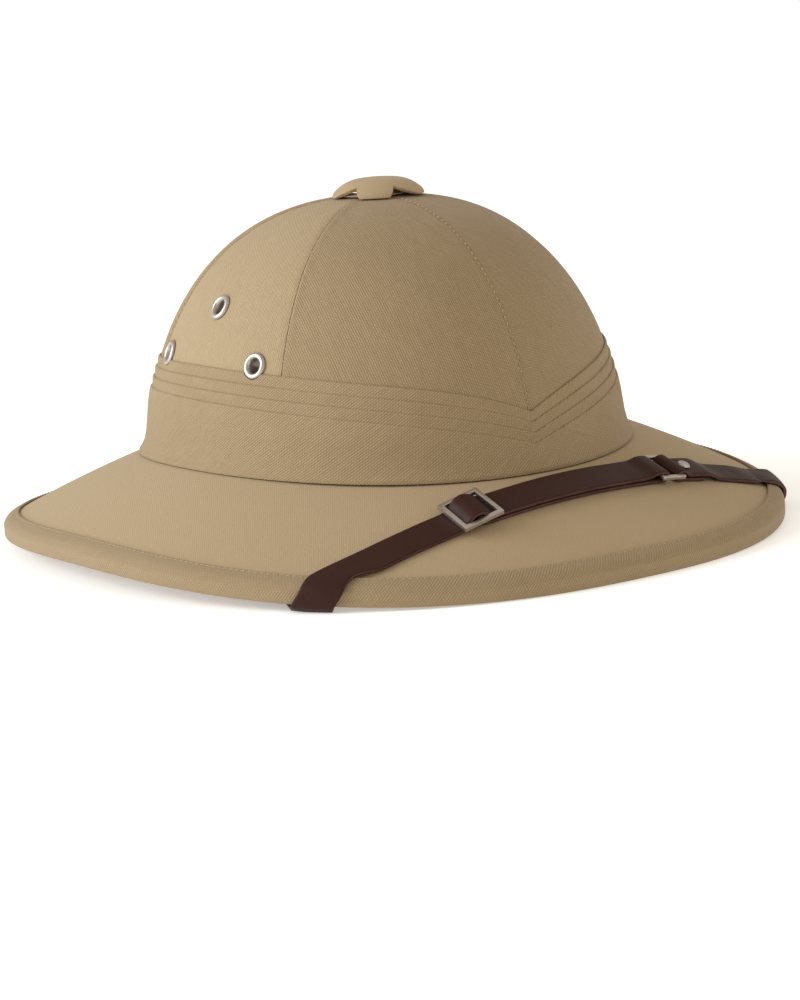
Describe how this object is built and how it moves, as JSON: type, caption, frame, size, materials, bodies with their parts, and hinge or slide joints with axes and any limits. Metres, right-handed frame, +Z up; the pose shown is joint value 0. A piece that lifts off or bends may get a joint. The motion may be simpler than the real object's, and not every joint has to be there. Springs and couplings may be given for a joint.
{
  "type": "pith helmet",
  "caption": "Cloth-covered sun helmet with a sloping bound brim, pleated band, side eyelets, a vent cap and a leather chin strap laid over the front of the brim.",
  "frame": {"origin": "under the middle of the helmet, on the surface that it rests on", "axes": "+Z up, -Y towards the front of the helmet, +X towards the wearer's left"},
  "size_m": [0.294, 0.333, 0.1463],
  "materials": {
    "crown_cloth": "khaki cotton twill, matt",
    "brim_cloth": "khaki cotton twill, matt",
    "binding_cloth": "khaki cotton twill cut on the bias, matt",
    "band_cloth": "khaki cotton twill, pleated, matt",
    "strap_leather": "dark brown, smooth, satin",
    "nickel": "nickel plate, satin",
    "post_metal": "plain steel, dull"
  },
  "bodies": {
    "root": {"brim": "brim_cloth", "brim_binding": "binding_cloth", "crown_panel_1": "crown_cloth", "crown_panel_2": "crown_cloth", "crown_panel_3": "crown_cloth", "crown_panel_4": "crown_cloth", "crown_panel_5": "crown_cloth", "crown_panel_6": "crown_cloth", "eyelet_right_top": "nickel", "eyelet_right_front": "nickel", "eyelet_right_rear": "nickel", "eyelet_left_top": "nickel", "eyelet_left_front": "nickel", "eyelet_left_rear": "nickel", "puggaree_band": "band_cloth", "puggaree_fold_1": "band_cloth", "puggaree_fold_2": "band_cloth", "puggaree_fold_3": "band_cloth", "vent_cap": "crown_cloth", "vent_post": "post_metal", "strap_long": "strap_leather", "strap_short": "strap_leather", "slide_buckle": "nickel", "strap_ring": "nickel", "strap_rivet": "nickel", "strap_anchor_right": "post_metal", "strap_anchor_left": "post_metal"}
  },
  "joints": []
}
